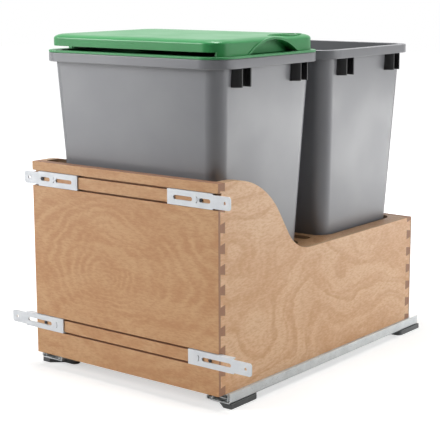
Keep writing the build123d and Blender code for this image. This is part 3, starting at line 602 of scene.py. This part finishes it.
def mesh_piece(name, bm):
    """Put a finished mesh into the scene as an object of its own."""
    mesh = bpy.data.meshes.new(name)
    bmesh.ops.recalc_face_normals(bm, faces=bm.faces)
    bm.to_mesh(mesh)
    bm.free()
    piece = bpy.data.objects.new(name, mesh)
    bpy.context.scene.collection.objects.link(piece)
    return piece


def prism(name, outline, axis, start, end):
    """Closed prism: an outline of (a, b) points run along X or Y."""
    bm = bmesh.new()
    ends = []
    for run in (start, end):
        if axis == "X":
            ends.append([bm.verts.new((run, a, b)) for a, b in outline])
        else:
            ends.append([bm.verts.new((a, run, b)) for a, b in outline])
    band(bm, ends[0], ends[1])
    bm.faces.new(ends[0])
    bm.faces.new(ends[1])
    return mesh_piece(name, bm)


def combine(piece, other, operation):
    """Join or cut with a helper piece, keep the result, drop the helper."""
    modifier = piece.modifiers.new("combine", "BOOLEAN")
    modifier.operation = operation
    modifier.solver = "EXACT"
    modifier.object = other
    depsgraph = bpy.context.evaluated_depsgraph_get()
    result = bpy.data.meshes.new_from_object(piece.evaluated_get(depsgraph))
    piece.modifiers.clear()
    old, piece.data = piece.data, result
    result.name = piece.name
    bpy.data.meshes.remove(old)
    bpy.data.objects.remove(other)


def arch_outline(grow, low):
    """Arc of the hand grip seen from the right, closed along its foot."""
    half, crown = GRIP_HALF + grow, GRIP_CROWN + grow
    rise = crown - low
    radius = (half * half + rise * rise) / (2 * rise)
    reach = math.asin(min(1.0, half / radius))
    points = []
    for k in range(ARCH_STEPS + 1):
        a = reach * (1 - 2 * k / ARCH_STEPS)
        points.append((GRIP_MIDDLE + radius * math.sin(a), crown - radius + radius * math.cos(a)))
    return points


def scoop_shape(name, grow):
    """Oval dish-shaped cutter for the finger recess by the grip."""
    top = LID_TOP + SCOOP_HEAD
    bm = bmesh.new()
    rings = []
    for depth in (0.0, 0.35, 0.65, 0.85, 0.96):
        share = math.sqrt(max(0.0, 1 - depth * depth))
        z = LID_TOP - SCOOP_LEAD - (SCOOP_DEPTH + grow) * depth
        ring = []
        for k in range(SCOOP_STEPS):
            a = 2 * math.pi * k / SCOOP_STEPS
            ring.append(Vector((SCOOP_X + (SCOOP_HALF_WIDTH + grow) * share * math.cos(a),
                                SCOOP_Y + (SCOOP_HALF_LENGTH + grow) * share * math.sin(a), z)))
        rings.append(ring)
    head = [Vector((p.x, p.y, top)) for p in rings[0]]
    rows = skin_rings(bm, [head] + rings)
    bm.faces.new(rows[0])
    return mesh_piece(name, bm)


def tube_bar(name, radius, y0, y1):
    """Round bar along the hinge's axis."""
    outline = []
    for k in range(ROUND_STEPS):
        a = 2 * math.pi * k / ROUND_STEPS
        outline.append((HINGE_X + radius * math.cos(a), HINGE_Z + radius * math.sin(a)))
    return prism(name, outline, "Y", y0, y1)


def cutter_box(name, x0, x1, y0, y1, z0, z1):
    """Upright box between two corners."""
    return prism(name, [(x0, z0), (x1, z0), (x1, z1), (x0, z1)], "Y", y0, y1)


def lid_shell():
    """Crowned skin and inner skin, joined round the skirt's foot."""
    bm = bmesh.new()
    outer_rings = crowned_skin(0.0, LID_LOW, LID_TOP, EDGE_ROLL_IN, EDGE_ROLL_DOWN, LID_CROWN)
    outer = skin_rings(bm, outer_rings)
    inner_top = LID_TOP - LID_WALL
    inner_rings = crowned_skin(LID_WALL, LID_LOW, inner_top, INNER_ROLL_IN, INNER_ROLL_DOWN, LID_CROWN)
    inner = skin_rings(bm, inner_rings)
    band(bm, outer[0], inner[0])
    return mesh_piece("green_lid", bm)


def grip_and_recess(shell):
    """Hand grip with its raised lip, finger recess beside it, and a level top."""
    wall_x = LID_HALF_X - GRIP_DEPTH
    pocket = prism("grip_pocket", arch_outline(LID_WALL, LID_LOW), "X", wall_x - LID_WALL, LID_HALF_X - PAST)
    combine(shell, pocket, "UNION")
    lip_end = LID_HALF_X + GRIP_LIP_STAND
    lip = prism("grip_lip", arch_outline(GRIP_LIP, LID_LOW), "X", LID_HALF_X - LID_WALL, lip_end)
    combine(shell, lip, "UNION")
    combine(shell, scoop_shape("recess_skin", SCOOP_SKIN), "UNION")
    opening = prism("grip_cut", arch_outline(0.0, LID_LOW - PAST), "X", wall_x, LID_HALF_X + GRIP_PAST)
    combine(shell, opening, "DIFFERENCE")
    combine(shell, scoop_shape("recess_cut", 0.0), "DIFFERENCE")
    trim = cutter_box("top_trim", -WELL_CLEAR, WELL_CLEAR, FRONT_BIN_Y - TRIM_HALF_Y,
                      FRONT_BIN_Y + TRIM_HALF_Y, LID_TOP, LID_TOP + TRIM_RISE)
    combine(shell, trim, "DIFFERENCE")


def air_gaps(shell):
    """The dark gap between the skirt and the ring, round the front and the back."""
    front = FRONT_BIN_Y - LID_HALF_Y
    back = FRONT_BIN_Y + LID_HALF_Y
    corner = LID_CORNER * (1 - math.sqrt(0.5))
    end_x = LID_HALF_X - corner
    gaps = [
        (end_x, front - PAST, front + corner),
        (end_x, back - corner, back + PAST),
        (0.0, front - PAST, front + AIR_GAP_START),
        (0.0, back - AIR_GAP_START, back + PAST),
    ]
    for k, (x1, y0, y1) in enumerate(gaps):
        gap = cutter_box(f"air_gap_{k}", -WELL_CLEAR, x1, y0, y1, LID_LOW - PAST, LID_LOW + AIR_GAP)
        combine(shell, gap, "DIFFERENCE")


def knuckles(shell):
    """The two bored knuckles that turn on the hinge pins."""
    for k, middle in enumerate((FRONT_BIN_Y - HINGE_OFFSET, FRONT_BIN_Y + HINGE_OFFSET)):
        y0, y1 = middle - KNUCKLE_HALF, middle + KNUCKLE_HALF
        z0, z1 = HINGE_Z - KNUCKLE_RADIUS, HINGE_Z + KNUCKLE_RADIUS
        web = cutter_box(f"knuckle_web_{k}", HINGE_X, -LID_HALF_X + LID_WALL, y0, y1, z0, z1)
        combine(web, tube_bar(f"knuckle_{k}", KNUCKLE_RADIUS, y0, y1), "UNION")
        combine(shell, web, "UNION")
        bore = tube_bar(f"knuckle_bore_{k}", KNUCKLE_BORE, y0 - PAST, y1 + PAST)
        combine(shell, bore, "DIFFERENCE")


def lid_moulding():
    """The green lid as one moulding, in place of the CAD lid."""
    shell = lid_shell()
    grip_and_recess(shell)
    air_gaps(shell)
    knuckles(shell)
    shell.data.materials.append(FINISHES["lid_green"])
    soften(shell, LID_SOFTNESS)
    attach(shell, "lid")
    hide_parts("lid")


# ---------------------------------------------------------------- studio
FLOOR_TONES = (rgb(206, 206, 204), rgb(210, 210, 209))
WHITE_SURROUND = (1.0, 1.0, 1.0, 1.0)
DARK_SURROUND = (0.02, 0.02, 0.021, 1.0)


def pale_floor():
    """Plain pale floor that glows, so that it reads white and still keeps shadows.

    Its rear part glows in the object's reflections too, as the white surround does.
    """
    material = bpy.data.materials.new("pale_floor")
    material.use_nodes = True
    w = Wiring(material.node_tree)
    shader = material.node_tree.nodes["Principled BSDF"]
    shader.inputs["Roughness"].default_value = 0.9
    shader.inputs["Specular IOR Level"].default_value = 0.0
    shader.inputs["Emission Strength"].default_value = 1.0
    run = w.add("ShaderNodeTexCoord").outputs["Object"]
    cloud = w.fit(w.noise(run, 3.0, 3.0), 0.3, 0.7)
    w.feed(shader.inputs["Base Color"], w.blend(cloud, *FLOOR_TONES))
    path = w.add("ShaderNodeLightPath").outputs
    back = w.fit(w.split(run)["Y"], -0.2, 0.5, 0.0, 0.6)
    away = w.add("ShaderNodeVectorMath", {0: run}, operation="LENGTH").outputs["Value"]
    seen = w.times(path["Is Camera Ray"], w.fit(away, 0.4, 1.6, 0.56, 1.0))
    glow = w.math("MAXIMUM", seen, w.times(path["Is Glossy Ray"], back))
    w.feed(shader.inputs["Emission Color"], w.point(glow, glow, glow))
    return material


LAMPS = [                     # name, place, aim, width and height, watts
    ("left_softbox", (-3.278, -3.278, 2.153), (0.0, 0.0, 0.28), (2.0, 2.0), 166.0),
    ("right_softbox", (4.516, 1.644, 1.658), (0.0, 0.0, 0.28), (2.0, 2.0), 80.0),
    ("top_softbox", (0.0, 0.0, 3.0), (0.0, 0.0, 0.3), (1.0, 1.0), 65.0),
    ("low_right_softbox", (0.84, 1.0, 0.15), (0.15, 0.0, 0.3), (0.95, 0.28), 2.7),
    ("low_left_softbox", (-1.3, -1.2, 0.22), (0.0, -0.1, 0.3), (0.9, 0.44), 2.5),
]


def lay_floor():
    """The plain floor under the feet."""
    bm = bmesh.new()
    bmesh.ops.create_grid(bm, x_segments=8, y_segments=8, size=FLOOR_HALF)
    floor = mesh_piece("floor", bm)
    floor.location = (0.0, 0.0, -FLOOR_DROP)
    floor.data.materials.append(pale_floor())


def white_surround():
    """White to the camera; in reflections it is white on one side and falls off to dark."""
    world = bpy.data.worlds.new("studio")
    bpy.context.scene.world = world
    world.use_nodes = True
    w = Wiring(world.node_tree)
    background = world.node_tree.nodes["Background"]
    path = w.add("ShaderNodeLightPath").outputs
    way = w.split(w.add("ShaderNodeTexCoord").outputs["Generated"])
    behind = w.fit(w.minus(way["Y"], way["X"]), -0.5, 0.6)
    straight = w.math("MAXIMUM", path["Is Camera Ray"], path["Is Transmission Ray"])
    shown = w.math("MAXIMUM", straight, w.times(path["Is Glossy Ray"], behind))
    w.feed(background.inputs["Color"], w.blend(shown, DARK_SURROUND, WHITE_SURROUND))
    background.inputs["Strength"].default_value = 1.0


def hang_lamps():
    """Five soft lamps: two beside, one above, and two low ones that light the sides."""
    for name, place, aim, size, watts in LAMPS:
        light = bpy.data.lights.new(name, "AREA")
        light.shape = "RECTANGLE"
        light.size, light.size_y = size
        light.energy = watts
        lamp = bpy.data.objects.new(name, light)
        lamp.visible_camera = False
        lamp.location = place
        lamp.rotation_euler = (Vector(aim) - Vector(place)).to_track_quat("-Z", "Y").to_euler()
        bpy.context.scene.collection.objects.link(lamp)


def photograph_camera():
    """Camera at the photograph's place, tilt and field of view."""
    turn, tilt, roll = (math.radians(angle) for angle in (VIEW_TURN, VIEW_RISE, VIEW_ROLL))
    back = Vector((math.sin(turn) * math.cos(tilt), -math.cos(turn) * math.cos(tilt), math.sin(tilt)))
    level = Vector((math.cos(turn), math.sin(turn), 0.0))
    lift = back.cross(level)
    right = level * math.cos(roll) + lift * math.sin(roll)
    up = lift * math.cos(roll) - level * math.sin(roll)
    data = bpy.data.cameras.new("photograph_camera")
    data.lens = VIEW_LENS
    data.sensor_width = VIEW_SENSOR
    data.clip_end = 50.0
    camera = bpy.data.objects.new("photograph_camera", data)
    axes = Matrix((right, up, back)).transposed().to_4x4()
    camera.matrix_world = Matrix.Translation(VIEW_PLACE) @ axes
    bpy.context.scene.collection.objects.link(camera)
    bpy.context.scene.camera = camera


# ---------------------------------------------------------------- the whole scene
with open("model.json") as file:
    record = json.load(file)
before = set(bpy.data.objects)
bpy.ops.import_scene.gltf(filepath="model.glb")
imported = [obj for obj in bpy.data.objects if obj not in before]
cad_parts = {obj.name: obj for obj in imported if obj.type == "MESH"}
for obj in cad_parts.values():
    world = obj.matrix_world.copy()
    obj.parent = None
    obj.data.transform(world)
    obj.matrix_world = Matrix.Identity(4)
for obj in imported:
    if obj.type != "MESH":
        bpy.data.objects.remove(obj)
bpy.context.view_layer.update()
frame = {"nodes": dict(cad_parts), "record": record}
dress(frame)
lid_moulding()
lay_floor()
white_surround()
hang_lamps()
photograph_camera()
bpy.context.scene.view_settings.view_transform = "Standard"
